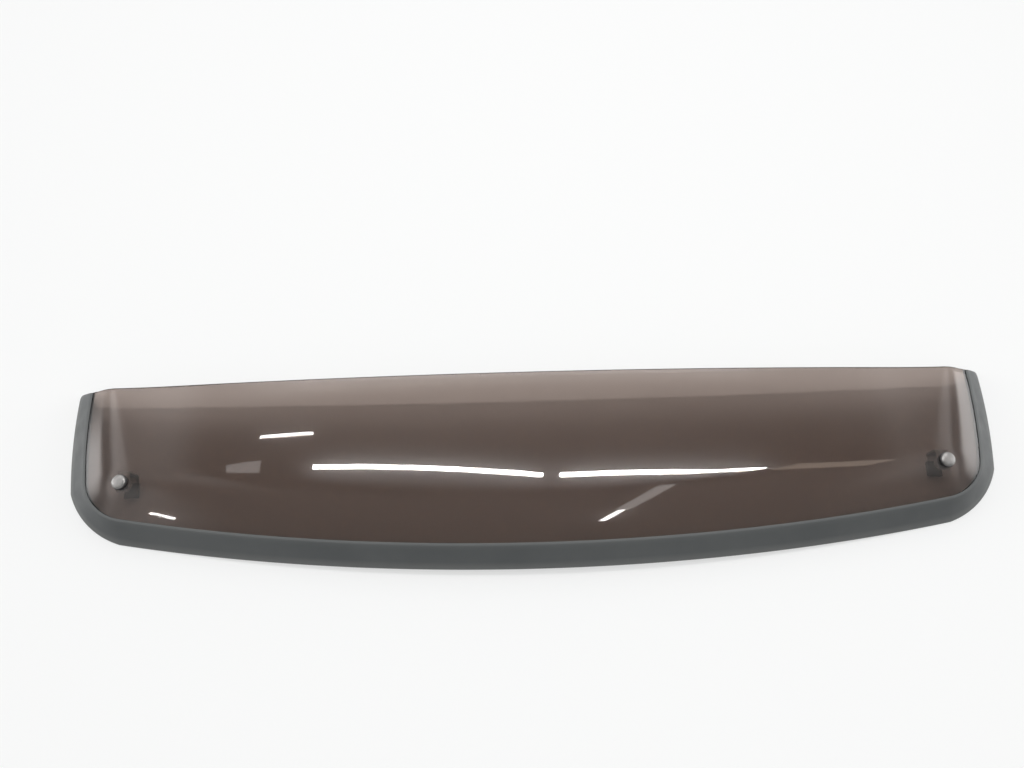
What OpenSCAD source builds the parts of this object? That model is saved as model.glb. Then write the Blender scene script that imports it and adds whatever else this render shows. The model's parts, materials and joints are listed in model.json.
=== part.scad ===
// Sunroof wind deflector: a formed tinted panel with a rubber edge seal and two clamps.
// Millimetres. X to the right, Y to the rear, Z up, table at Z = 0.

/* [Panel] */
// Thickness of the formed sheet
sheet_t = 3.5; // [3:0.1:4]
// Height of the rear edge at its middle
rear_h = 40.2; // [38:0.1:42]
// How much lower the rear edge is at its ends
rear_crown = 11.9; // [11:0.1:13]
// Width of the sloping flange inside the seal
flange_w = 13; // [11:0.5:14]
// Slope of the flange, rise over run
flange_slope = 0.45; // [0.4:0.01:0.5]

/* [Outline] */
// Overall width over the seal
overall_w = 900; // [890:1:910]
// Radius of the front edge in plan
front_r = 2085; // [2000:5:2200]
// Radius of the two ends in plan
end_r = 540; // [500:5:600]
// Radius of the two front corners in plan
corner_r = 48; // [42:1:54]
// Depth of the seam line from its rear end to its front middle
seam_depth = 169.6; // [166:0.1:172]

/* [Edge seal] */
// Height of the seam line above the seal's foot
seam_h = 19.5; // [19:0.1:20]
// Flare of the seal from seam to foot on the ends
flare_end = 19.5; // [18.5:0.1:20]
// Flare of the seal from seam to foot on the front
flare_front = 16.8; // [16:0.1:18]
// How much narrower the flare is round the corners
flare_dip = 3.4; // [2:0.1:4]
// Lift of the foot at the front middle, to suit a crowned roof
foot_crown = 6.5; // [5:0.5:8]
// How far the foot runs back past the top at the rear ends
foot_back = 8; // [6:0.5:9]

/* [Screws and clamps] */
// Distance from the seam line to each screw
screw_in = 31.8; // [31:0.1:33]
// Diameter of the screw head
head_d = 13.6; // [13:0.1:14]
// Nominal diameter of the screw
screw_d = 6; // [6:1:6]
// Diameter of the thin washer under the head
washer_d = 14.6; // [14.2:0.1:15.2]
// Diameter of the rubber spacer under the panel
spacer_d = 14; // [13:0.5:15]
// Width of the clamp strip
clamp_w = 12; // [11:0.5:14]
// Thickness of the clamp strip
clamp_t = 2; // [1.8:0.1:2.2]

/* [Hidden] */
$fn = 96;

// Steps along the seam line on each half: end, corner, front
end_steps = 8;
corner_steps = 10;
front_steps = 14;
half = end_steps + corner_steps + front_steps;
last = 2 * half;

total_depth = seam_depth + foot_back + flare_front;
// Rear end of the seam line and its front middle, with the origin in the middle of the footprint
seam_rear = total_depth / 2 - foot_back;
seam_front = seam_rear - seam_depth;
seam_x = overall_w / 2 - flare_end;

// Plan of the seam line: two end arcs and one front arc, joined by corner arcs
front_c = [0, seam_front + front_r];
end_c = [seam_x - end_r, seam_rear];
function circles_meet(a, ra, b, rb) =
    let (d = norm(b - a), e = (b - a) / d, m = (ra * ra - rb * rb + d * d) / (2 * d),
         h = sqrt(ra * ra - m * m))
    a + m * e - h * [-e[1], e[0]];
corner_try = circles_meet(front_c, front_r - corner_r, end_c, end_r - corner_r);
corner_c = corner_try[0] > 0 ? corner_try
         : circles_meet(end_c, end_r - corner_r, front_c, front_r - corner_r);
end_a = atan2(corner_c[1] - end_c[1], corner_c[0] - end_c[0]);
front_a = atan2(corner_c[1] - front_c[1], corner_c[0] - front_c[0]);

// u runs 0 to 1 along the end, 1 to 2 round the corner, 2 to 3 to the front middle
function angle_at(u) = u <= 1 ? end_a * u
                     : u <= 2 ? end_a + (front_a - end_a) * (u - 1)
                     : front_a + (-90 - front_a) * (u - 2);
function out_at(u) = [cos(angle_at(u)), sin(angle_at(u))];
function seam_at(u) = u <= 1 ? end_c + end_r * out_at(u)
                    : u <= 2 ? corner_c + corner_r * out_at(u)
                    : front_c + front_r * out_at(u);
function flare_at(u) =
    let (t = min(1, max(0, (angle_at(u) - end_a) / (front_a - end_a))))
    flare_end + (flare_front - flare_end) * t - flare_dip * 4 * t * (1 - t);

// Heights: the foot follows the roof, the main surface is crowned and slightly arched
foot_reach = 395;
function foot_z(x) = foot_crown * pow(max(0, 1 - pow(x / foot_reach, 2)), 1.5);
crown_x = 345;
crown_run = 60;
function crown_sq(x) =
    let (a = abs(x), s = min(a - crown_x, crown_run))
    a < crown_x ? a * a : crown_x * crown_x + 2 * crown_x * (s - s * s / (2 * crown_run));
rear_c = rear_crown / crown_sq(crown_x + crown_run);
front_crown_c = 4e-5;
arch_up = 7;
arch_down = 8;
function main_z(p) =
    let (t = (seam_rear - p[1]) / seam_depth)
    rear_h + arch_up * t - arch_down * t * t - (rear_c + (front_crown_c - rear_c) * t) * crown_sq(p[0]);
function seam_z(u) = seam_h + foot_z(seam_at(u)[0]);

// Each line of the panel's grid runs from the seam to a point on the rear edge
rear_x = [330, 300, 250];
function rear_at(u) = [u <= 1 ? rear_x[0] + (rear_x[1] - rear_x[0]) * u
                     : u <= 2 ? rear_x[1] + (rear_x[2] - rear_x[1]) * (u - 1)
                     : rear_x[2] * (3 - u), seam_rear];
function way_in(u) = (rear_at(u) - seam_at(u)) / norm(rear_at(u) - seam_at(u));
function squareness(u) = -(way_in(u) * out_at(u));
function reach_in(u) = norm(rear_at(u) - seam_at(u)) * squareness(u);
// The main surface falls to the seam over a bend, then the flange
function fall(u) = main_z(seam_at(u)) - seam_z(u);
function bend_w(u) = (fall(u) - flange_slope * flange_w) * 2 / flange_slope;
function slope_in(u, d) = d <= flange_w ? flange_slope
                        : flange_slope * max(0, 1 - (d - flange_w) / bend_w(u));
function drop_in(u, d) = d <= flange_w ? fall(u) - flange_slope * d
                       : flange_slope / 2 * bend_w(u) * pow(max(0, 1 - (d - flange_w) / bend_w(u)), 2);
// Nearest place on the seam line to a point of the panel: [u, distance in]
function on_arc(p, first_u, c, r, a0, a1) =
    [first_u + (atan2(p[1] - c[1], p[0] - c[0]) - a0) / (a1 - a0), r - norm(p - c)];
function near(p) =
    let (tries = [on_arc(p, 0, end_c, end_r, 0, end_a), on_arc(p, 1, corner_c, corner_r, end_a, front_a),
                  on_arc(p, 2, front_c, front_r, front_a, -90)],
         good = [for (i = [0:2]) if (tries[i][0] > i - 1e-6 && tries[i][0] < i + 1 + 1e-6) tries[i]],
         least = min([for (g = good) g[1]]))
    [for (g = good) if (g[1] == least) g][0];
function top_z(p) = let (n = near(p)) main_z(p) - drop_in(n[0], n[1]);
function skin(u, d) =
    let (p = seam_at(u) + way_in(u) * d / squareness(u)) [p[0], p[1], top_z(p)];
function under(p, t) =
    let (n = near([p[0], p[1]]), out = out_at(n[0]), slope = slope_in(n[0], n[1]),
         k = t / sqrt(1 + slope * slope))
    [p[0] - out[0] * slope * k, p[1] - out[1] * slope * k, p[2] - k];

// The seal's outer face, in [outward from the seam, height above the foot]
wall_out = 1.35;
wall_in = 1.6;
play = 0.08;
play_under = 0.15;
lip_len = 11;
face_top = [0.9, seam_h + 0.75];
function face_foot(u) = [flare_at(u) - 0.9, 1.6];
function face_dir(u) = (face_foot(u) - face_top) / norm(face_foot(u) - face_top);
function face_out(u) = [-face_dir(u)[1], face_dir(u)[0]];
// Where the flange, lowered by t, meets the steep lip that the seal grips, set back by back
function fold(u, t, back) =
    let (a = face_top - back * face_out(u), m = face_dir(u)[1] / face_dir(u)[0],
         h = seam_h - t * sqrt(1 + flange_slope * flange_slope),
         n = (h - a[1] + m * a[0]) / (m + flange_slope))
    [n, h - flange_slope * n];
function lip_top(u) = fold(u, 0, wall_out);
function lip_under(u) = fold(u, sheet_t, wall_out + sheet_t);
function at_seam(u, q) =
    let (p = seam_at(u) + out_at(u) * q[0])
    [p[0], p[1], q[1] + foot_z(seam_at(u)[0])];

function steps(a, b, n) = [for (i = [0:n - 1]) a + (b - a) * i / n];
half_u = concat(steps(0, 1, end_steps), steps(1, 2, corner_steps), steps(2, 3, front_steps), [3]);
function u_at(k) = half_u[k <= half ? k : last - k];
function side_at(k) = k <= half ? 1 : -1;
function flip(k, p) = [side_at(k) * p[0], p[1], p[2]];

// Panel rows: lip end, fold, flange, bend, then on to the rear edge
function rows_in(u) =
    let (b = flange_w + bend_w(u), r = reach_in(u))
    concat([4, 8.5, flange_w],
           [for (i = [1:5]) flange_w + bend_w(u) * i / 5],
           [for (i = [1:5]) b + (r - b) * i / 5]);
function panel_line(k) =
    let (u = u_at(k), end_top = lip_top(u) + face_dir(u) * lip_len,
         end_under = end_top - face_out(u) * sheet_t, rows = rows_in(u))
    [concat([at_seam(u, end_top), at_seam(u, lip_top(u))], [for (d = rows) skin(u, d)]),
     concat([at_seam(u, end_under), at_seam(u, lip_under(u))],
            [for (d = rows) under(skin(u, d), sheet_t)])];
panel_lines = [for (k = [0:last]) panel_line(k)];
panel_rows = len(panel_lines[0][0]);

// Seal section, round the outside and then back through the channel
function seal_ring(u) =
    let (f = flare_at(u), t = face_dir(u), o = face_out(u), c = lip_top(u), b = lip_under(u),
         e = c + t * (lip_len + 0.1), g = e - o * (sheet_t + play_under),
         rise = (top_z(seam_at(u) - 4 * out_at(u)) - foot_z(seam_at(u)[0]) - c[1]) / (4 + c[0]),
         tip = function (n, up) [n, c[1] + rise * (c[0] - n) + up])
    [tip(-1.5, play), tip(-1.45, 0.6), tip(-0.9, 0.92), tip(-0.1, 0.98), face_top,
     (face_top + face_foot(u)) / 2 + 0.3 * o, face_foot(u),
     [f - 0.25, 1.1], [f, 0.6], [f - 0.2, 0.15], [f - 0.8, 0], [f - 2.8, 0], [f - 4.2, 0.9],
     g + t * 1.4 - o * wall_in, b + t - o * wall_in, b + t - o * play_under,
     g, e + o * play, c + play * (o + [flange_slope, 1] / norm([flange_slope, 1])) * 0.6];
// The rear ends are cut at a slant, with the foot further back
function end_shift(k, z) = (k == 0 || k == last) ? foot_back * (1 - z / seam_h) : 0;
seal_rings = [for (k = [0:last]) [for (q = seal_ring(u_at(k)))
    let (p = flip(k, at_seam(u_at(k), q))) [p[0], p[1] + end_shift(k, q[1]), p[2]]]];
seal_n = len(seal_rings[0]);
seal_cap = [[0, 1, 18], [1, 2, 18], [2, 3, 18], [3, 4, 18], [4, 17, 18], [4, 5, 17], [5, 16, 17],
            [5, 6, 16], [6, 13, 16], [6, 7, 12], [7, 8, 12], [8, 9, 12], [9, 10, 12], [10, 11, 12],
            [6, 12, 13], [13, 14, 16], [14, 15, 16]];

// Two triangles for each cell of a grid whose points are numbered a row at a time
function cells(from, rows, cols, turned) = [for (i = [0:rows - 2], j = [0:cols - 2])
    let (a = from + i * cols + j, b = a + 1, c = a + cols, d = c + 1)
    each turned ? [[a, b, d], [a, d, c]] : [[a, d, b], [a, c, d]]];
function flat(list) = [for (l = list, p = l) p];

// Place and lean of the screws, square to the panel's surface
screw_u = 1.535;
screw_at = skin(screw_u, screw_in);
lean_n = cross(skin(screw_u + 0.02, screw_in) - skin(screw_u - 0.02, screw_in),
               skin(screw_u, screw_in + 1) - skin(screw_u, screw_in - 1));
lean = lean_n[2] > 0 ? lean_n / norm(lean_n) : -lean_n / norm(lean_n);
lean_deg = acos(lean[2]);
hole_r = screw_d / 2 + 0.5;
washer_t = 1;
head_h = 3.4;
spacer_t = 3;
// The spacer bears at its rim, because the sheet is arched above it
spacer_top = -(sheet_t + 0.5);
clamp_top = spacer_top - spacer_t;
lock_t = 1.5;
nut_top = clamp_top - clamp_t - lock_t;
nut_h = 4.8;
nut_af = 10;
shank_end = nut_top - nut_h - 1.3;
jaw_drop = 15.6;
jaw_front = -9;
clamp_rear = 10;
fold_r = 2;
pad_t = 1;

panel_c = [0.33, 0.25, 0.22, 0.55];
rubber_c = [0.2, 0.21, 0.22];
steel_c = [0.75, 0.75, 0.76];

module at_right_screw() {
    translate(screw_at) rotate(a = lean_deg, v = [-lean[1], lean[0], 0]) children();
}

module at_left_screw() {
    mirror([1, 0, 0]) at_right_screw() children();
}

module screw_hole() {
    translate([0, 0, -12]) cylinder(r = hole_r, h = 20);
}

module panel_body() {
    polyhedron(
        points = concat(flat([for (k = [0:last]) [for (p = panel_lines[k][0]) flip(k, p)]]),
                        flat([for (k = [0:last]) [for (p = panel_lines[k][1]) flip(k, p)]])),
        faces = let (n = panel_rows, m = last + 1, o = n * m)
            concat(cells(0, m, n, true), cells(o, m, n, false),
                   [for (i = [0:m - 2]) let (a = i * n, b = a + n)
                       each [[a, b, o + b], [a, o + b, o + a]]],
                   [for (i = [0:m - 2]) let (a = i * n + n - 1, b = a + n)
                       each [[a, o + b, b], [a, o + a, o + b]]],
                   [for (j = [0:n - 2]) each [[j, o + j + 1, j + 1], [j, o + j, o + j + 1]]],
                   [for (j = [0:n - 2]) let (a = (m - 1) * n + j)
                       each [[a, a + 1, o + a + 1], [a, o + a + 1, o + a]]]));
}

module panel() {
    color(panel_c) difference() {
        panel_body();
        at_right_screw() screw_hole();
        at_left_screw() screw_hole();
    }
}

module edge_seal() {
    color(rubber_c) polyhedron(
        points = flat(seal_rings),
        faces = let (n = seal_n)
            concat([for (i = [0:last - 1], j = [0:n - 1])
                       let (a = i * n + j, b = i * n + (j + 1) % n, c = a + n, d = b + n)
                       each [[a, b, d], [a, d, c]]],
                   [for (f = seal_cap) [f[2], f[1], f[0]]],
                   [for (f = seal_cap) [last * n + f[0], last * n + f[1], last * n + f[2]]]));
}

module screw() {
    color(steel_c) difference() {
        union() {
            rotate_extrude() polygon([[0, washer_t], [head_d / 2 - 0.3, washer_t],
                [head_d / 2, washer_t + 0.4], [head_d / 2, washer_t + 1.5],
                [head_d / 2 - 0.6, washer_t + 2.4], [head_d / 2 - 1.8, washer_t + 3],
                [0, washer_t + head_h]]);
            translate([0, 0, shank_end + 0.7])
                cylinder(r = screw_d / 2 - 0.03, h = washer_t - shank_end - 0.2);
            translate([0, 0, shank_end])
                cylinder(r1 = screw_d / 2 - 0.7, r2 = screw_d / 2 - 0.03, h = 0.7);
        }
        for (a = [0, 90]) rotate([0, 0, a])
            translate([-2.6, -0.6, washer_t + head_h - 2]) cube([5.2, 1.2, 3]);
    }
}

module head_washer() {
    color(rubber_c) difference() {
        cylinder(r = washer_d / 2, h = washer_t);
        translate([0, 0, -1]) cylinder(r = screw_d / 2 + 0.1, h = washer_t + 2);
    }
}

module spacer() {
    color(rubber_c) translate([0, 0, clamp_top]) difference() {
        cylinder(r = spacer_d / 2, h = spacer_t);
        translate([0, 0, -1]) cylinder(r = screw_d / 2 + 0.1, h = spacer_t + 2);
    }
}

// Side view of the bent strip: top leg, web at the rear, jaw pointing forward
module clamp_side() {
    inner = fold_r;
    outer = fold_r + clamp_t;
    translate([-7.5, jaw_drop + clamp_t]) square([7.5 + clamp_rear - inner, clamp_t]);
    translate([clamp_rear, clamp_t + inner]) square([clamp_t, jaw_drop - 2 * inner]);
    translate([jaw_front, 0]) square([clamp_rear - inner - jaw_front, clamp_t]);
    for (top = [0, 1]) translate([clamp_rear - inner, top == 1 ? jaw_drop + clamp_t - inner : outer])
        intersection() {
            difference() {
                circle(r = outer);
                circle(r = inner);
            }
            translate([0, top == 1 ? 0 : -outer]) square([outer, outer]);
        }
}

module clamp() {
    color(steel_c) difference() {
        translate([-clamp_w / 2, 0, clamp_top - jaw_drop - 2 * clamp_t])
            rotate([90, 0, 90]) linear_extrude(clamp_w) clamp_side();
        translate([0, 0, clamp_top - clamp_t - 1]) cylinder(r = screw_d / 2 + 0.3, h = clamp_t + 2);
    }
}

// Rubber sleeve pushed over the jaw, closed at the front
module pad() {
    jaw_z = clamp_top - jaw_drop - 2 * clamp_t;
    color(rubber_c) difference() {
        translate([-clamp_w / 2 - pad_t, jaw_front - pad_t, jaw_z - pad_t])
            cube([clamp_w + 2 * pad_t, 13 + pad_t, clamp_t + 2 * pad_t]);
        translate([-clamp_w / 2, jaw_front, jaw_z]) cube([clamp_w, 30, clamp_t]);
    }
}

module lock_washer() {
    color(steel_c) translate([0, 0, nut_top]) difference() {
        cylinder(r = 5.5, h = lock_t);
        translate([0, 0, -1]) cylinder(r = screw_d / 2 + 0.2, h = lock_t + 2);
    }
}

module nut() {
    color(steel_c) translate([0, 0, nut_top - nut_h]) difference() {
        cylinder(r = nut_af / sqrt(3), h = nut_h, $fn = 6);
        translate([0, 0, -1]) cylinder(r = screw_d / 2, h = nut_h + 2);
    }
}

panel();
edge_seal();
at_left_screw() screw();  // left_screw
at_right_screw() screw();  // right_screw
at_left_screw() head_washer();  // left_head_washer
at_right_screw() head_washer();  // right_head_washer
at_left_screw() spacer();  // left_spacer
at_right_screw() spacer();  // right_spacer
at_left_screw() clamp();  // left_clamp
at_right_screw() clamp();  // right_clamp
at_left_screw() pad();  // left_pad
at_right_screw() pad();  // right_pad
at_left_screw() lock_washer();  // left_lock_washer
at_right_screw() lock_washer();  // right_lock_washer
at_left_screw() nut();  // left_nut
at_right_screw() nut();  // right_nut
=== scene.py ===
import json
import math

import bmesh
import bpy
from mathutils import Matrix, Vector

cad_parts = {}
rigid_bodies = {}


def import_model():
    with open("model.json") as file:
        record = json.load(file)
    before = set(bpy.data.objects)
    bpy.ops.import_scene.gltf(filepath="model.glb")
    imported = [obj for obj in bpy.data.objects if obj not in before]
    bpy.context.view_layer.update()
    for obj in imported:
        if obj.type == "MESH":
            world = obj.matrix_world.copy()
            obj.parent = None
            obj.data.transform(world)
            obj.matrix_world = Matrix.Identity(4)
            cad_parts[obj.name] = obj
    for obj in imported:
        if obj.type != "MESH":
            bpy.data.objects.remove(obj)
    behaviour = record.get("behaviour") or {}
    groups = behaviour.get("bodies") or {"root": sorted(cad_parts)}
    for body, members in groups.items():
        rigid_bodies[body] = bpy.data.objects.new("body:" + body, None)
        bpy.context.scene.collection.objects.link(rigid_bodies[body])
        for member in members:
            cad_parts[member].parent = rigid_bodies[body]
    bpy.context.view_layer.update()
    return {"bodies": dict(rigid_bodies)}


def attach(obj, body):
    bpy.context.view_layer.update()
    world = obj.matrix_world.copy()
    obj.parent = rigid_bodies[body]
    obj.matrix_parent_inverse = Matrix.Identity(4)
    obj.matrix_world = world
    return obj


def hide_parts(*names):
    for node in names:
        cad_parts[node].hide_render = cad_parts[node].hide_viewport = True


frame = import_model()

# Sizes in millimetres, as in the part: X to the right, Y to the rear, Z up from the table
SHEET = 3.5
FLANGE_W, FLANGE_SLOPE = 13.0, 0.45
SEAM_X, SEAM_REAR, SEAM_FRONT = 430.5, 89.2, -80.4
SEAM_DEPTH = SEAM_REAR - SEAM_FRONT
FRONT_R, END_R, CORNER_R = 2085.0, 540.0, 48.0
SEAM_H = 19.5
WALL_OUT, WALL_IN = 1.35, 1.6
PLAY, PLAY_UNDER, LIP_LEN = 0.08, 0.15, 11.0
FRONT_C = (0.0, SEAM_FRONT + FRONT_R)
END_C = (SEAM_X - END_R, SEAM_REAR)


def corner_centre():
    """Middle of the corner arc, which touches the front arc and the end arc from inside."""
    ra, rb = FRONT_R - CORNER_R, END_R - CORNER_R
    dx, dy = END_C[0] - FRONT_C[0], END_C[1] - FRONT_C[1]
    d = math.hypot(dx, dy)
    m = (ra * ra - rb * rb + d * d) / (2 * d)
    h = math.sqrt(ra * ra - m * m)
    x0, y0 = FRONT_C[0] + m * dx / d, FRONT_C[1] + m * dy / d
    return max((x0 + s * h * dy / d, y0 - s * h * dx / d) for s in (1, -1))


CORNER_C = corner_centre()
END_A = math.atan2(CORNER_C[1] - END_C[1], CORNER_C[0] - END_C[0])
FRONT_A = math.atan2(CORNER_C[1] - FRONT_C[1], CORNER_C[0] - FRONT_C[0])
ARCS = (
    (END_C, END_R, 0.0, END_A),
    (CORNER_C, CORNER_R, END_A, FRONT_A),
    (FRONT_C, FRONT_R, FRONT_A, -math.pi / 2),
)


def mix(a, b, t):
    return a + (b - a) * t


def seam(u):
    """Point on the seam line and the way out from it. u is 0 to 1 on the end, to 2 round the corner, to 3 at the front middle."""
    c, r, a0, a1 = ARCS[min(2, int(u))]
    a = mix(a0, a1, u - min(2, int(u)))
    out = (math.cos(a), math.sin(a))
    return (c[0] + r * out[0], c[1] + r * out[1]), out


def nearest(x, y):
    """Where on the seam line a point of the panel is nearest to, and how far in it lies."""
    x = abs(x)
    best = None
    for k, (c, r, a0, a1) in enumerate(ARCS):
        t = (math.atan2(y - c[1], x - c[0]) - a0) / (a1 - a0)
        d = r - math.hypot(x - c[0], y - c[1])
        if -1e-9 <= t <= 1 + 1e-9 and (best is None or d < best[1]):
            best = (k + t, d)
    return best or (0.0, 999.0)


def foot_z(x):
    return 6.5 * max(0.0, 1 - (x / 395) ** 2) ** 1.5


def crown(x):
    a = abs(x)
    if a < 345:
        return a * a
    s = min(a - 345, 60)
    return 345 * 345 + 690 * (s - s * s / 120)


REAR_CROWN = 11.9 / crown(405)


def main_z(x, y):
    t = (SEAM_REAR - y) / SEAM_DEPTH
    return 40.2 + 7 * t - 8 * t * t - mix(REAR_CROWN, 4e-5, t) * crown(x)


def fall(u):
    (x, y), out = seam(u)
    return main_z(x, y) - SEAM_H - foot_z(x)


def bend_width(u):
    return (fall(u) - FLANGE_SLOPE * FLANGE_W) * 2 / FLANGE_SLOPE


def drop(u, d):
    if d <= FLANGE_W:
        return fall(u) - FLANGE_SLOPE * d
    w = bend_width(u)
    return FLANGE_SLOPE / 2 * w * max(0.0, 1 - (d - FLANGE_W) / w) ** 2


def skin_z(x, y):
    return main_z(x, y) - drop(*nearest(x, y))


def rear_point(u):
    stops = (330.0, 300.0, 250.0, 0.0)
    k = min(2, int(u))
    return (mix(stops[k], stops[k + 1], u - k), SEAM_REAR)


def flare(u):
    """How far the seal's foot stands out from the seam line."""
    (x, y), out = seam(u)
    t = min(1.0, max(0.0, (math.atan2(out[1], out[0]) - END_A) / (FRONT_A - END_A)))
    return mix(19.5, 16.8, t) - 3.4 * 4 * t * (1 - t)


FACE_TOP = Vector((0.9, SEAM_H + 0.75))


def face(u):
    """Foot, direction and outward normal of the seal's outer face, as [outward, up]."""
    foot = Vector((flare(u) - 0.9, 1.6))
    along = (foot - FACE_TOP).normalized()
    return foot, along, Vector((-along.y, along.x))


def fold(u, down, back):
    """Where the flange, lowered by down, meets the steep lip, set back from the seal's face."""
    foot, along, out = face(u)
    a = FACE_TOP - back * out
    m = along.y / along.x
    h = SEAM_H - down * math.sqrt(1 + FLANGE_SLOPE**2)
    n = (h - a.y + m * a.x) / (m + FLANGE_SLOPE)
    return Vector((n, h - FLANGE_SLOPE * n))


def at_seam(u, q):
    (x, y), out = seam(u)
    return Vector((x + out[0] * q[0], y + out[1] * q[0], q[1] + foot_z(x)))


def half_steps(n_end, n_corner, n_front):
    return (
        [i / n_end for i in range(n_end)]
        + [1 + i / n_corner for i in range(n_corner)]
        + [2 + i / n_front for i in range(n_front)]
        + [3.0]
    )


def both_sides(half):
    """Steps from the right rear end round to the left rear end, each with its side."""
    return [(u, 1) for u in half] + [(u, -1) for u in reversed(half[:-1])]


# Tools for making pieces


def new_piece(name, bm, finish, node=None, smooth=30):
    """Turns a bmesh in millimetres into a piece of the object that rides on the frame."""
    bmesh.ops.scale(bm, vec=(0.001, 0.001, 0.001), verts=bm.verts)
    me = bpy.data.meshes.new(name)
    bm.to_mesh(me)
    bm.free()
    me.materials.append(finish)
    for p in me.polygons:
        p.use_smooth = True
    me.set_sharp_from_angle(angle=math.radians(smooth))
    ob = bpy.data.objects.new(name, me)
    bpy.context.scene.collection.objects.link(ob)
    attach(ob, "root" if "root" in frame["bodies"] else list(frame["bodies"])[0])
    if node:
        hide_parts(node)
    return ob


def close_up(bm):
    """Merges doubles, fills any open ends and turns every face outwards."""
    bmesh.ops.remove_doubles(bm, verts=bm.verts, dist=1e-3)
    bmesh.ops.holes_fill(bm, edges=[e for e in bm.edges if e.is_boundary], sides=0)
    bmesh.ops.recalc_face_normals(bm, faces=bm.faces)


def turned(bm, profile, steps=64, turns=1.0, rise=0.0):
    """A shape turned round Z from a line of (radius, height) points, climbing as it turns if asked."""
    ring = [bm.verts.new((r, 0, z)) for r, z in profile]
    edges = [bm.edges.new(pair) for pair in zip(ring, ring[1:])]
    bmesh.ops.spin(
        bm, geom=ring + edges, cent=(0, 0, 0), axis=(0, 0, 1), dvec=(0, 0, rise / steps),
        angle=math.tau * turns, steps=steps, use_merge=(rise == 0 and turns == 1),
    )


def ring_section(inner, outer, low, high, edge, bulge=0.0):
    """Section of a flat ring with eased corners, closed on itself."""
    e, s = edge, 0.3 * edge
    half = [(outer - e, low), (outer - s, low + s), (outer, low + e), (outer + bulge, (low + high) / 2),
            (outer, high - e), (outer - s, high - s), (outer - e, high)]
    back = [(inner + e, high), (inner + s, high - s), (inner, high - e),
            (inner, low + e), (inner + s, low + s), (inner + e, low)]
    return half + back + half[:1]


def ease(bm, edges, width, segments=2):
    bmesh.ops.bevel(
        bm, geom=edges, offset=width, offset_type="OFFSET", segments=segments,
        profile=0.5, affect="EDGES", material=-1,
    )


def bore(bm, place, radius, clear, reach, level=None):
    """Opens a round hole in a sheet: clears the faces at the place and bridges the gap to a circle."""
    middle = place.to_translation()
    near = [f for f in bm.faces if (f.calc_center_median() - middle).length < clear]
    bmesh.ops.delete(bm, geom=near, context="FACES")
    rim = [e for e in bm.edges if e.is_boundary and (e.verts[0].co - middle).length < reach]
    ring = bmesh.ops.create_circle(bm, cap_ends=False, radius=radius, segments=40, matrix=place)
    if level:
        for v in ring["verts"]:
            v.co.z = level(v.co.x, v.co.y)
    edges = list({e for v in ring["verts"] for e in v.link_edges})
    bmesh.ops.bridge_loops(bm, edges=rim + edges)


def outward_sheet(bm, way):
    """Turns a sheet's faces to one side."""
    bmesh.ops.recalc_face_normals(bm, faces=bm.faces)
    if sum(way(f) for f in bm.faces) < 0:
        bmesh.ops.reverse_faces(bm, faces=bm.faces)


# Finishes


def new_finish(name):
    mat = bpy.data.materials.new(name)
    mat.use_nodes = True
    nt = mat.node_tree
    return mat, nt, nt.nodes["Principled BSDF"], nt.links.new


def add_node(nt, kind, **inputs):
    n = nt.nodes.new(kind)
    for key, value in inputs.items():
        n.inputs[key.replace("_", " ")].default_value = value
    return n


def colour_ramp(nt, source, *stops):
    """Turns a grey value into colours, each stop being (position, grey or colour)."""
    n = nt.nodes.new("ShaderNodeValToRGB")
    nt.links.new(source, n.inputs["Fac"])
    marks = n.color_ramp.elements
    while len(marks) < len(stops):
        marks.new(0.5)
    for mark, (at, tone) in zip(marks, stops):
        mark.position = at
        mark.color = (tuple(tone) if isinstance(tone, tuple) else (tone,) * 3) + (1,)
    return n.outputs["Color"]


def grain(nt, scale, detail=4.0, where="Object"):
    co = nt.nodes.new("ShaderNodeTexCoord")
    n = add_node(nt, "ShaderNodeTexNoise", Scale=scale, Detail=detail)
    nt.links.new(co.outputs[where], n.inputs["Vector"])
    return n.outputs["Fac"]


def roughen(nt, shader, height, strength, depth):
    n = add_node(nt, "ShaderNodeBump", Strength=strength, Distance=depth)
    nt.links.new(height, n.inputs["Height"])
    nt.links.new(n.outputs["Normal"], shader.inputs["Normal"])


def smoked_acrylic():
    """Clear brown acrylic, with the soft bloom that years of wiping leave round a reflection."""
    mat, nt, p, link = new_finish("smoked acrylic")
    p.inputs["Base Color"].default_value = (0.342, 0.28, 0.25, 1)
    p.inputs["Roughness"].default_value = 0.02
    p.inputs["IOR"].default_value = 1.49
    p.inputs["Transmission Weight"].default_value = 1.0
    p.inputs["Coat Weight"].default_value = 0.15
    p.inputs["Coat Roughness"].default_value = 0.13
    p.inputs["Coat IOR"].default_value = 1.49
    return mat


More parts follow.
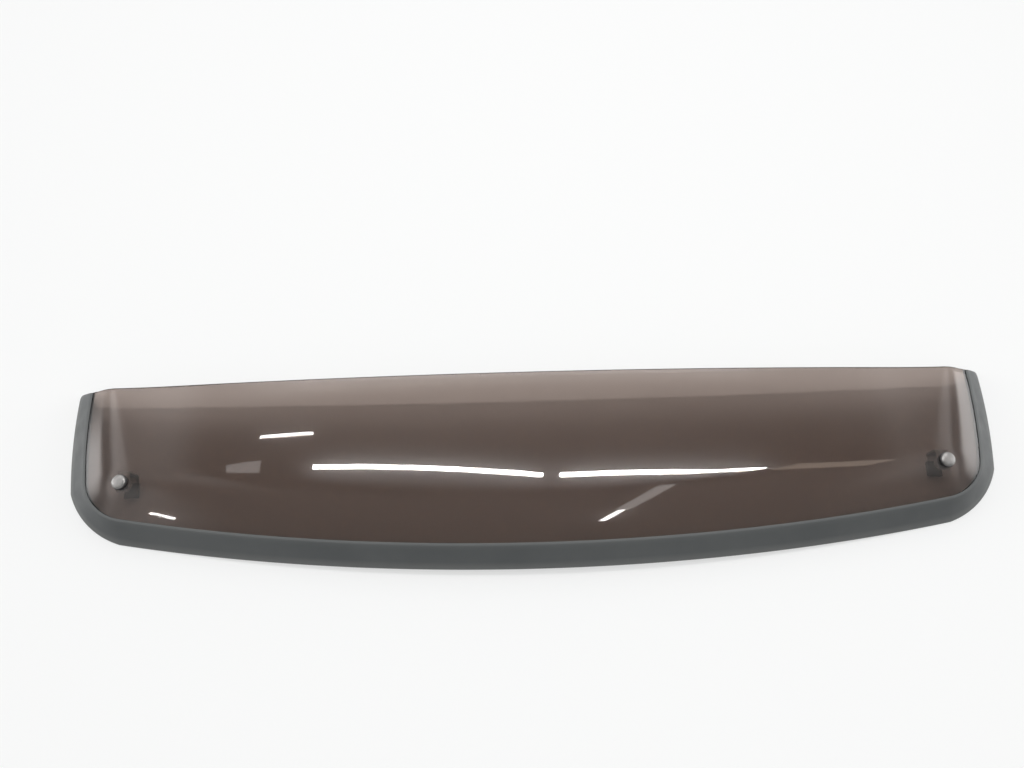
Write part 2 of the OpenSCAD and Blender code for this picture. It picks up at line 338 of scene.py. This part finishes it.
def seal_rubber():
    """Dull extruded rubber, with a painted highlight: paler along the lip's tip and the foot's edge, where those
    edges catch the light.
    """
    mat, nt, p, link = new_finish("seal rubber")
    tone = colour_ramp(nt, grain(nt, 14.0), (0.3, (0.07, 0.076, 0.078)), (0.7, (0.088, 0.094, 0.095)))
    uv = nt.nodes.new("ShaderNodeTexCoord")
    sep = nt.nodes.new("ShaderNodeSeparateXYZ")
    link(uv.outputs["UV"], sep.inputs[0])
    # Painted highlight: paler bands round the section at the lip's tip and the foot's edge, standing in for light
    # caught on those edges.
    edge_highlight = colour_ramp(
        nt, sep.outputs["Y"], (0.0, 0.1), (0.12, 0.55), (0.2, 0.4), (0.27, 0.0),
        (0.42, 0.0), (0.5, 0.9), (0.66, 1.0), (0.72, 0.0),
    )
    highlighted = nt.nodes.new("ShaderNodeMix")
    highlighted.data_type = "RGBA"
    # The pale colour of the painted highlight on the lip's tip and the foot's edge.
    highlighted.inputs["B"].default_value = (0.13, 0.135, 0.133, 1)
    link(edge_highlight, highlighted.inputs["Factor"])
    link(tone, highlighted.inputs["A"])
    link(highlighted.outputs["Result"], p.inputs["Base Color"])
    link(colour_ramp(nt, grain(nt, 60.0), (0.3, 0.42), (0.7, 0.58)), p.inputs["Roughness"])
    roughen(nt, p, grain(nt, 1800.0, 2.0), 0.25, 0.0001)
    return mat


def plain_rubber(name, colour, rough):
    """Moulded rubber with a fine grain."""
    mat, nt, p, link = new_finish(name)
    light, dark = (tuple(k * c for c in colour) for k in (1.25, 0.75))
    link(colour_ramp(nt, grain(nt, 120.0, 5.0), (0.3, dark), (0.7, light)), p.inputs["Base Color"])
    link(colour_ramp(nt, grain(nt, 400.0), (0.3, rough - 0.08), (0.7, rough + 0.08)), p.inputs["Roughness"])
    roughen(nt, p, grain(nt, 2500.0, 2.0), 0.3, 0.00008)
    return mat


def turned_steel():
    """Bright steel with the rings that the lathe leaves, round the middle of its UV map."""
    mat, nt, p, link = new_finish("turned steel")
    uv = nt.nodes.new("ShaderNodeTexCoord")
    rings = nt.nodes.new("ShaderNodeTexWave")
    rings.wave_type, rings.rings_direction = "RINGS", "SPHERICAL"
    for key, value in (("Scale", 6.0), ("Distortion", 0.6), ("Detail", 2.0), ("Detail Scale", 3.0)):
        rings.inputs[key].default_value = value
    link(uv.outputs["UV"], rings.inputs["Vector"])
    link(colour_ramp(nt, grain(nt, 300.0), (0.3, (0.27, 0.265, 0.26)), (0.7, (0.35, 0.34, 0.33))), p.inputs["Base Color"])
    link(colour_ramp(nt, rings.outputs["Fac"], (0.0, 0.26), (1.0, 0.4)), p.inputs["Roughness"])
    p.inputs["Metallic"].default_value = 1.0
    roughen(nt, p, rings.outputs["Fac"], 0.35, 0.00006)
    return mat


def zinc_plate():
    """Dull zinc with the faint cloudy bloom of plating."""
    mat, nt, p, link = new_finish("zinc plate")
    bloom = grain(nt, 220.0, 6.0)
    link(colour_ramp(nt, bloom, (0.3, (0.42, 0.43, 0.43)), (0.7, (0.58, 0.58, 0.565))), p.inputs["Base Color"])
    link(colour_ramp(nt, bloom, (0.3, 0.52), (0.7, 0.38)), p.inputs["Roughness"])
    p.inputs["Metallic"].default_value = 1.0
    roughen(nt, p, grain(nt, 1500.0, 3.0), 0.2, 0.00005)
    return mat


# Screws and clamps, each made upright in the screw's own frame, with Z along the screw and 0 at the panel's face

WASHER_T, HEAD_TOP, HEAD_R = 1.0, 4.4, 6.8
SHANK_R, SHANK_END, THREAD_TOP, PITCH = 2.97, -16.6, -9.0, 1.0
CLAMP_TOP, CLAMP_T, CLAMP_W, FOLD_OUT = -7.0, 2.0, 12.0, 4.0
LEG_FRONT, JAW_FRONT, WEB_REAR, JAW_LOW = -7.5, -9.0, 12.0, -26.6
NUT_TOP, NUT_H, NUT_AF = -10.5, 4.8, 10.0


def screw_frame():
    """Place and lean of the right screw, square to the panel."""
    u, inset = 1.535, 31.8
    (x, y), out = seam(u)
    rx, ry = rear_point(u)
    reach = -((rx - x) * out[0] + (ry - y) * out[1])
    px, py = mix(x, rx, inset / reach), mix(y, ry, inset / reach)
    sx = skin_z(px + 0.5, py) - skin_z(px - 0.5, py)
    sy = skin_z(px, py + 0.5) - skin_z(px, py - 0.5)
    return Vector((px, py, skin_z(px, py))), Vector((-sx, -sy, 1)).normalized()


SCREW_AT, LEAN = screw_frame()


def at_screw(side):
    where = Vector((SCREW_AT.x * side, SCREW_AT.y, SCREW_AT.z))
    lean = Vector((LEAN.x * side, LEAN.y, LEAN.z))
    turn = Vector((0, 0, 1)).rotation_difference(lean).to_matrix().to_4x4()
    return Matrix.Translation(where) @ turn


def dome(r):
    return HEAD_TOP - 0.08 * r


def recess(bm, half, slot, depth):
    """Cross recess: the middle of a grid of nine, sunk and drawn in. Gives back its rim."""
    made = bmesh.ops.create_grid(bm, x_segments=3, y_segments=3, size=half)
    for v in made["verts"]:
        for k in (0, 1):
            if abs(v.co[k]) < half * 0.9:
                v.co[k] = math.copysign(slot, v.co[k])
    faces = list({f for v in made["verts"] for f in v.link_faces})
    corners = [f for f in faces if min(abs(c) for c in f.calc_center_median()[:2]) > slot]
    bmesh.ops.delete(bm, geom=corners, context="FACES")
    cross = [f for f in faces if f.is_valid]
    rim = [e for e in {e for f in cross for e in f.edges} if e.is_boundary]
    for v in {v for e in rim for v in e.verts}:
        v.co.z = dome(math.hypot(v.co.x, v.co.y))
    sunk = bmesh.ops.extrude_face_region(bm, geom=cross)["geom"]
    for v in (g for g in sunk if isinstance(g, bmesh.types.BMVert)):
        v.co = Vector((0.8 * v.co.x, 0.8 * v.co.y, HEAD_TOP - depth))
    return rim


def screw_head(bm):
    """Low domed head with a cross recess, and the plain shank down to the thread."""
    open_r = 3.6
    turned(bm, [
        (open_r, dome(open_r)), (5.0, 4.0), (5.7, 3.72), (6.2, 3.38), (6.55, 2.95), (6.74, 2.5),
        (HEAD_R, 2.1), (HEAD_R, 1.5), (6.72, 1.2), (6.5, WASHER_T), (SHANK_R, WASHER_T),
        (SHANK_R, THREAD_TOP), (0, THREAD_TOP),
    ])
    bmesh.ops.remove_doubles(bm, verts=bm.verts, dist=1e-3)
    opening = [e for e in bm.edges if e.is_boundary]
    rim = recess(bm, 2.6, 0.6, 2.0)
    bmesh.ops.triangle_fill(bm, edges=opening + rim, use_beauty=True, normal=(0, 0, 1))


def screw_thread(bm):
    """The threaded end: one turn's profile climbing round, cut off square and chamfered."""
    root, crest = 2.42, SHANK_R - 0.01
    turns, low = 10, SHANK_END - 1.6
    profile = [(root, 0.0), (crest, 0.4), (crest, 0.52), (root, 0.92), (root, 1.0)]
    turned(bm, [(r, low + PITCH * z) for r, z in profile], steps=32 * turns, turns=turns, rise=turns * PITCH)
    bmesh.ops.remove_doubles(bm, verts=bm.verts, dist=1e-3)
    for level, below in ((SHANK_END, True), (THREAD_TOP, False)):
        bmesh.ops.bisect_plane(
            bm, geom=bm.verts[:] + bm.edges[:] + bm.faces[:], plane_co=(0, 0, level),
            plane_no=(0, 0, 1), clear_inner=below, clear_outer=not below,
        )
    for v in bm.verts:
        r, most = math.hypot(v.co.x, v.co.y), SHANK_R - max(0.0, SHANK_END + 0.7 - v.co.z)
        if r > most:
            v.co = Vector((v.co.x * most / r, v.co.y * most / r, v.co.z))
    close_up(bm)


def split_ring(bm):
    """Lock washer: a flat ring cut through and sprung a little."""
    spring, thick = 0.22, 1.28
    low = NUT_TOP
    turned(bm, ring_section(3.2, 5.5, low, low + thick, 0.18), steps=64, turns=0.972, rise=spring)
    close_up(bm)


def hex_nut(bm):
    """Nut with both faces chamfered, so that each corner ends in a curved line."""
    low, high, hole, chamfer = NUT_TOP - NUT_H, NUT_TOP, 3.0, 4.85
    corner = NUT_AF / math.sqrt(3)
    turned(bm, [
        (hole + 0.4, low), (chamfer, low), (corner, low + 0.5), (corner, high - 0.5), (chamfer, high),
        (hole + 0.4, high), (hole, high - 0.4), (hole, low + 0.4), (hole + 0.4, low),
    ], steps=72)
    close_up(bm)
    for v in bm.verts:
        r, a = math.hypot(v.co.x, v.co.y), math.atan2(v.co.y, v.co.x)
        if r > chamfer + 0.1:
            flat = NUT_AF / 2 / math.cos((a % (math.pi / 3)) - math.pi / 6)
            down = (flat - chamfer) * math.tan(math.radians(30))
            z = high - down if v.co.z > (low + high) / 2 else low + down
            v.co = Vector((v.co.x * flat / r, v.co.y * flat / r, z))


def clamp_path():
    """The strip's outer face from the front of the top leg, round both folds, to the jaw's tip."""
    bend_y, top_c, low_c = WEB_REAR - FOLD_OUT, CLAMP_TOP - FOLD_OUT, JAW_LOW + FOLD_OUT
    path = [(y, CLAMP_TOP) for y in (LEG_FRONT, -6, -4, -2, 0, 2, 4, 6)]
    for k in range(8):
        a = math.radians(90 - 90 * k / 7)
        path.append((bend_y + FOLD_OUT * math.cos(a), top_c + FOLD_OUT * math.sin(a)))
    for k in range(8):
        a = math.radians(-90 * k / 7)
        path.append((bend_y + FOLD_OUT * math.cos(a), low_c + FOLD_OUT * math.sin(a)))
    return path + [(y, JAW_LOW) for y in (4, 0, -4, JAW_FRONT)]


def clamp_strip(bm):
    """Steel strip bent into a hook, with the screw's hole in its top leg and its edges eased."""
    path = clamp_path()
    across = 6
    bmesh.ops.create_grid(bm, x_segments=across, y_segments=len(path) - 1, size=1)
    for v in bm.verts:
        y, z = path[round((v.co.y + 1) / 2 * (len(path) - 1))]
        v.co = Vector((v.co.x * CLAMP_W / 2, y, z))
    inside = Vector((0, 4, (CLAMP_TOP + JAW_LOW) / 2))
    outward_sheet(bm, lambda f: f.normal.dot(f.calc_center_median() - inside))
    bore(bm, Matrix.Translation((0, 0, CLAMP_TOP)), 3.3, 4.5, 5.8)
    bmesh.ops.solidify(bm, geom=bm.faces[:], thickness=CLAMP_T)
    rims = [
        e for e in bm.edges
        if e.calc_face_angle(0) > math.radians(60) and min(v.co.xy.length for v in e.verts) > 4
        and not (abs(e.verts[0].co.x) < CLAMP_W / 2 - 0.1 and abs(e.verts[0].co.y) < 6)
    ]
    ease(bm, rims, 0.35)
    bmesh.ops.recalc_face_normals(bm, faces=bm.faces)


def jaw_pad(bm):
    """Rubber sleeve pushed over the jaw, closed at the front."""
    wall, depth, half_w = 1.0, 14.0, CLAMP_W / 2 + 1.0
    low = JAW_LOW - wall
    bmesh.ops.create_cube(bm, size=1)
    size = Vector((2 * half_w, depth, CLAMP_T + 2 * wall))
    bmesh.ops.scale(bm, vec=size, verts=bm.verts)
    bmesh.ops.translate(bm, vec=(0, JAW_FRONT - wall + depth / 2, low + size.z / 2), verts=bm.verts)
    rear = [f for f in bm.faces if f.normal.y > 0.9]
    bmesh.ops.inset_region(bm, faces=rear, thickness=wall, use_even_offset=True)
    sunk = bmesh.ops.extrude_face_region(bm, geom=rear)["geom"]
    moved = [g for g in sunk if isinstance(g, bmesh.types.BMVert)]
    bmesh.ops.translate(bm, vec=(0, wall - depth, 0), verts=moved)
    ease(bm, [e for e in bm.edges if min(abs(v.co.x) for v in e.verts) > half_w - 0.1], 0.55, 3)
    bmesh.ops.recalc_face_normals(bm, faces=bm.faces)


def upright(name, side, finish, slot, *makers):
    """Makes one small piece in the screw's frame and sets it in its place on one side."""
    bm = bmesh.new()
    uv = bm.loops.layers.uv.new("UVMap")
    for make in makers:
        part = bmesh.new()
        make(part)
        me = bpy.data.meshes.new("step")
        part.to_mesh(me)
        part.free()
        bm.from_mesh(me)
        bpy.data.meshes.remove(me)
    for f in bm.faces:
        for corner in f.loops:
            corner[uv].uv = corner.vert.co.xy
    bmesh.ops.transform(bm, matrix=at_screw(1 if side == "right" else -1), verts=bm.verts)
    return new_piece(side + "_" + name + "_piece", bm, finish, side + "_" + name)


def make_fixing(side, steel, zinc, soft, grey):
    upright("screw", side, steel, "screw_steel", screw_head, screw_thread)
    upright("head_washer", side, soft, "washer_rubber", lambda bm: turned(
        bm, ring_section(3.1, 7.15, 0.0, WASHER_T, 0.3, 0.15)))
    upright("spacer", side, grey, "washer_rubber", lambda bm: turned(
        bm, ring_section(3.1, 6.8, CLAMP_TOP, CLAMP_TOP + 3.0, 0.5, 0.2)))
    upright("clamp", side, zinc, "clamp_steel", clamp_strip)
    upright("pad", side, grey, "rubber", jaw_pad)
    upright("lock_washer", side, zinc, "clamp_steel", split_ring)
    upright("nut", side, zinc, "clamp_steel", hex_nut)


# Panel


def panel_rows(u):
    """Distances in from the seam line at which the panel has a row of points."""
    w = bend_width(u)
    (x, y), out = seam(u)
    rx, ry = rear_point(u)
    reach = -((rx - x) * out[0] + (ry - y) * out[1])
    flange = [1.0, 2.5, 4.0, 6.0, 8.0, 10.0, 12.0, FLANGE_W]
    bend = [FLANGE_W + w * i / 14 for i in range(1, 15)]
    return flange + bend + [FLANGE_W + w + (reach - FLANGE_W - w) * i / 22 for i in range(1, 23)]


def panel_line(u):
    foot, along, out = face(u)
    top = fold(u, 0, WALL_OUT)
    points = [at_seam(u, top + along * LIP_LEN * t) for t in (1.0, 0.8, 0.5, 0.2, 0.08, 0.0)]
    (x, y), way = seam(u)
    rx, ry = rear_point(u)
    reach = -((rx - x) * way[0] + (ry - y) * way[1])
    for d in panel_rows(u):
        px, py = mix(x, rx, d / reach), mix(y, ry, d / reach)
        points.append(Vector((px, py, skin_z(px, py))))
    return points


def panel_skin():
    """The panel's upper face as one sheet, shaped from a flat grid."""
    steps = both_sides(half_steps(16, 22, 44))
    lines = [[Vector((p.x * side, p.y, p.z)) for p in panel_line(u)] for u, side in steps]
    rows = len(lines[0])
    bm = bmesh.new()
    bmesh.ops.create_grid(bm, x_segments=len(lines) - 1, y_segments=rows - 1, size=1)
    for v in bm.verts:
        i = round((v.co.x + 1) / 2 * (len(lines) - 1))
        j = round((v.co.y + 1) / 2 * (rows - 1))
        v.co = lines[i][j]
    return bm


def make_panel(finish):
    bm = panel_skin()
    outward_sheet(bm, lambda f: f.normal.z)
    for side in (1, -1):
        bore(bm, at_screw(side), 3.5, 5.2, 9.0, skin_z)
    bmesh.ops.solidify(bm, geom=bm.faces[:], thickness=SHEET)
    rear = [
        e for e in bm.edges
        if e.calc_face_angle(0) > math.radians(60) and min(v.co.y for v in e.verts) > SEAM_REAR - 1.5
        and min(v.co.z for v in e.verts) > SEAM_H + 2 and abs(e.verts[0].co.y - e.verts[1].co.y) < 0.2
    ]
    ease(bm, rear, 0.45)
    return new_piece("smoked_panel", bm, finish, node="panel", smooth=35)


# Edge seal


def seal_section(u):
    """Section of the seal, round the outside and back through the channel that grips the lip."""
    f = flare(u)
    foot, t, o = face(u)
    c, b = fold(u, 0, WALL_OUT), fold(u, SHEET, WALL_OUT + SHEET)
    e = c + t * (LIP_LEN + 0.1)
    g = e - o * (SHEET + PLAY_UNDER)
    slope = Vector((FLANGE_SLOPE, 1)).normalized()

    def tip(n, up):
        return Vector((n, c.y - FLANGE_SLOPE * (n - c.x) + up))

    outside = [tip(-1.5, PLAY), tip(-1.52, 0.4), tip(-1.38, 0.68), tip(-1.1, 0.86), tip(-0.7, 0.95),
               tip(-0.1, 1.0), Vector((0.5, SEAM_H + 0.98)), FACE_TOP]
    for i in range(1, 9):
        k = i / 9
        outside.append(FACE_TOP.lerp(foot, k) + o * 0.3 * 4 * k * (1 - k))
    outside += [foot, Vector((f - 0.45, 1.25)), Vector((f - 0.13, 0.95)), Vector((f, 0.6)),
                Vector((f - 0.07, 0.3)), Vector((f - 0.3, 0.1)), Vector((f - 0.8, 0)),
                Vector((f - 2.8, 0)), Vector((f - 3.6, 0.25)), Vector((f - 4.2, 0.9))]
    for q in outside:
        q.x -= rounded_end(u) * (1 - q.y / SEAM_H)
    inside = [g + t * 1.4 - o * WALL_IN, b + t - o * WALL_IN, b + t - o * PLAY_UNDER,
              g, e + o * PLAY, c + PLAY * (o + slope) * 0.6]
    return outside + inside


def rounded_end(u):
    """How far the foot draws in at the seal's rear corner."""
    t = 1 - min(1.0, u / 0.03)
    return 2.2 * (1 - math.sqrt(1 - t * t))


def end_fade(u):
    """The slanted cut at the rear: how far the foot runs on behind the seam's end."""
    return 8.0 * max(0.0, 1 - u / 0.055)


def seal_map(bm, place, step):
    """UV map of the seal: U along it and V once round its section."""
    uv = bm.loops.layers.uv.new("UVMap")
    count = 1 + max(v[place] for v in bm.verts)
    for f in bm.faces:
        wraps = any(v[place] == count - 1 for v in f.verts)
        for corner in f.loops:
            k = corner.vert[place]
            corner[uv].uv = (corner.vert[step] / 10, (count if wraps and k == 0 else k) / count)


def make_seal(finish):
    half = half_steps(18, 26, 44)
    steps = both_sides(half[:1] + [0.004, 0.011, 0.02, 0.03] + half[1:])
    bm = bmesh.new()
    place, step = (bm.verts.layers.int.new(n) for n in ("place", "step"))
    count = len(seal_section(0))
    ring = [bm.verts.new((0, 0, i)) for i in range(count)]
    for i, v in enumerate(ring):
        v[place] = i
    edges = [bm.edges.new((ring[i], ring[(i + 1) % count])) for i in range(count)]
    for k, (u, side) in enumerate(steps):
        section = seal_section(u)
        slant = end_fade(u)
        if k:
            made = bmesh.ops.extrude_edge_only(bm, edges=edges)["geom"]
            edges = [g for g in made if isinstance(g, bmesh.types.BMEdge)]
            ring = [g for g in made if isinstance(g, bmesh.types.BMVert)]
            edges = [e for e in edges if e.verts[0] in ring and e.verts[1] in ring]
        for v in ring:
            q = section[v[place]]
            p = at_seam(u, q)
            v.co = Vector((p.x * side, p.y + slant * (1 - q[1] / SEAM_H), p.z))
            v[step] = k
        if k in (0, len(steps) - 1):
            bmesh.ops.contextual_create(bm, geom=edges)
    seal_map(bm, place, step)
    bmesh.ops.recalc_face_normals(bm, faces=bm.faces)
    return new_piece("rubber_seal", bm, finish, node="edge_seal", smooth=35)


# Table, light and camera


def make_table():
    """Pale table. The camera sees part of it unshaded, as on a lit sweep, so the object's shadow stays faint."""
    bm = bmesh.new()
    bmesh.ops.create_grid(bm, x_segments=1, y_segments=1, size=12)
    me = bpy.data.meshes.new("table")
    bm.to_mesh(me)
    bm.free()
    mat, nt, p, link = new_finish("pale table")
    p.inputs["Base Color"].default_value = (0.93, 0.935, 0.93, 1)
    p.inputs["Roughness"].default_value = 0.9
    p.inputs["Specular IOR Level"].default_value = 0.1
    bright = add_node(nt, "ShaderNodeEmission", Strength=1.0)
    bright.inputs["Color"].default_value = (0.91, 0.915, 0.915, 1)
    path = nt.nodes.new("ShaderNodeLightPath")
    part = nt.nodes.new("ShaderNodeMath")
    part.operation = "MULTIPLY"
    part.inputs[1].default_value = 0.6
    pick = nt.nodes.new("ShaderNodeMixShader")
    link(path.outputs["Is Camera Ray"], part.inputs[0])
    link(part.outputs[0], pick.inputs["Fac"])
    link(p.outputs[0], pick.inputs[1])
    link(bright.outputs[0], pick.inputs[2])
    link(pick.outputs[0], nt.nodes["Material Output"].inputs["Surface"])
    me.materials.append(mat)
    ob = bpy.data.objects.new("table", me)
    bpy.context.scene.collection.objects.link(ob)


LAMP_H = 1800


def strip_lamp(name, start, end, width, glow, colour=(1, 1, 1)):
    """A long narrow lamp overhead between two places, facing the object."""
    a, b = (Vector((x, y, LAMP_H)) / 1000 for x, y in (start, end))
    length = (b - a).length
    data = bpy.data.lights.new(name, "AREA")
    data.shape = "RECTANGLE"
    data.size, data.size_y = length, width / 1000
    data.energy = glow * math.pi * length * width / 1000
    data.color = colour
    ob = bpy.data.objects.new(name, data)
    middle = (a + b) / 2
    along = (b - a).normalized()
    back = middle.normalized()
    back = (back - along * back.dot(along)).normalized()
    m = Matrix((along, back.cross(along), back)).transposed().to_4x4()
    m.translation = middle
    ob.matrix_world = m
    ob.visible_camera = False
    bpy.context.scene.collection.objects.link(ob)


def make_lamps():
    """Two rows of tubes behind the object, a few small lamps farther off and one row along."""
    strip_lamp("lamp row left", (-665, 773), (78, 639), 20, 120)
    strip_lamp("lamp row right", (132, 637), (800, 680), 20, 120)
    strip_lamp("small lamp left", (-884, 994), (-697, 970), 15, 40)
    strip_lamp("small lamp in front", (-1494, -933), (-1412, -987), 7, 40)
    strip_lamp("lamp along", (322, -990), (366, -540), 30, 30)
    strip_lamp("lamp along, far end", (366, -540), (470, 450), 60, 2.5)
    strip_lamp("pale lamp left", (-963, 818), (-847, 815), 70, 2)
    strip_lamp("warm lamp right", (860, 650), (1210, 320), 150, 1.6, (1, 0.85, 0.7))


LEFT_EDGE = Vector((1, 0.267, 0.307))


def make_room():
    """Soft light from pale walls: brightest behind, low windows at both ends, a dim ceiling, and a pale area left."""
    world = bpy.data.worlds.new("room")
    bpy.context.scene.world = world
    world.use_nodes = True
    nt = world.node_tree
    link = nt.links.new
    bg = nt.nodes["Background"]
    co = nt.nodes.new("ShaderNodeTexCoord")
    sep = nt.nodes.new("ShaderNodeSeparateXYZ")
    link(co.outputs["Generated"], sep.inputs[0])

    def fade(source, lo, hi, a, b):
        n = nt.nodes.new("ShaderNodeMapRange")
        n.interpolation_type = "SMOOTHSTEP"
        link(source, n.inputs["Value"])
        for key, value in (("From Min", lo), ("From Max", hi), ("To Min", a), ("To Max", b)):
            n.inputs[key].default_value = value
        return n.outputs["Result"]

    def maths(kind, first, *rest):
        for term in rest:
            n = nt.nodes.new("ShaderNodeMath")
            n.operation = kind
            for k, v in enumerate((first, term)):
                if isinstance(v, (int, float)):
                    n.inputs[k].default_value = v
                else:
                    link(v, n.inputs[k])
            first = n.outputs[0]
        return first

    x, y, z = (sep.outputs[k] for k in "XYZ")
    aside = maths("MAXIMUM", x, maths("MULTIPLY", x, -1))
    edge = nt.nodes.new("ShaderNodeVectorMath")
    edge.operation = "DOT_PRODUCT"
    edge.inputs[1].default_value = LEFT_EDGE
    link(co.outputs["Generated"], edge.inputs[0])

    low = fade(z, 0.86, 0.62, 0.0, 1.0)
    ceiling = maths("MULTIPLY", maths("SUBTRACT", 1, low), fade(y, 0.1, 0.35, 0.32, 0.15))
    walls = maths("MULTIPLY", low, fade(y, -0.75, 0.3, 0.4, 0.92))
    gap = maths("MULTIPLY", fade(aside, 0.5, 0.75, 0, 0.45), fade(z, 0.36, 0.45, 0, 1),
                fade(z, 0.68, 0.55, 0, 1), fade(y, 0.0, 0.3, 0, 1))
    behind = maths("MULTIPLY", fade(y, 0.515, 0.56, 0, 1.5), fade(aside, 0.36, 0.24, 0, 1), fade(z, 0.45, 0.6, 0, 1))
    slant = maths("ADD", y, maths("MULTIPLY", x, -0.04))
    windows = maths("MULTIPLY", fade(aside, 0.8, 0.87, 0, 2.8), fade(slant, 0.45, 0.35, 0, 1),
                    fade(y, -0.2, 0.0, 0, 1), fade(z, 0.56, 0.38, 0, 1))
    corners = maths("MULTIPLY", fade(aside, 0.4, 0.5, 0, 0.65), fade(z, 0.58, 0.66, 0, 1),
                    fade(z, 0.93, 0.85, 0, 1), fade(y, -0.35, 0.0, 0.1, 1))
    left = maths("MULTIPLY", fade(edge.outputs["Value"], 0.02, -0.03, 0, 0.5), fade(z, 0.62, 0.7, 0, 1),
                 maths("MAXIMUM", fade(y, 0.05, 0.25, 0, 1), fade(x, -0.42, -0.5, 0, 1)))
    base = maths("MULTIPLY", maths("ADD", ceiling, walls), maths("SUBTRACT", 1, gap))
    link(maths("ADD", base, behind, windows, corners, left), bg.inputs["Strength"])
    bg.inputs["Color"].default_value = (1, 1, 1, 1)
    plain = add_node(nt, "ShaderNodeBackground", Strength=0.93)
    plain.inputs["Color"].default_value = (1, 1, 1, 1)
    path = nt.nodes.new("ShaderNodeLightPath")
    pick = nt.nodes.new("ShaderNodeMixShader")
    link(path.outputs["Is Camera Ray"], pick.inputs["Fac"])
    link(bg.outputs[0], pick.inputs[1])
    link(plain.outputs[0], pick.inputs[2])
    link(pick.outputs[0], nt.nodes["World Output"].inputs["Surface"])


def make_camera():
    """The photograph's viewpoint: 62 degrees down, a hand's turn off square."""
    down, turn, roll = math.radians(62), math.radians(-0.98), math.radians(0.658)
    spin = Matrix.Rotation(turn, 3, "Z")
    look = spin @ Vector((0, math.cos(down), -math.sin(down)))
    right = spin @ Vector((1, 0, 0))
    below = spin @ Vector((0, -math.sin(down), -math.cos(down)))
    x = math.cos(roll) * right + math.sin(roll) * below
    y = math.sin(roll) * right - math.cos(roll) * below
    m = Matrix((x, y, -look)).transposed().to_4x4()
    m.translation = Vector((-0.01824, 0.09722, 0)) - look * 1.00551
    data = bpy.data.cameras.new("camera")
    data.sensor_width, data.lens = 36, 36 * 1000 / 1024
    cam = bpy.data.objects.new("camera", data)
    cam.matrix_world = m
    bpy.context.scene.collection.objects.link(cam)
    bpy.context.scene.camera = cam


make_camera()
acrylic, rubber, steel, zinc = smoked_acrylic(), seal_rubber(), turned_steel(), zinc_plate()
soft = plain_rubber("washer rubber", (0.035, 0.036, 0.038), 0.55)
grey = plain_rubber("grey rubber", (0.15, 0.155, 0.155), 0.6)
make_panel(acrylic)
make_seal(rubber)
for side in ("left", "right"):
    make_fixing(side, steel, zinc, soft, grey)
make_table()
make_room()
make_lamps()

bpy.context.scene.view_settings.view_transform = "Standard"
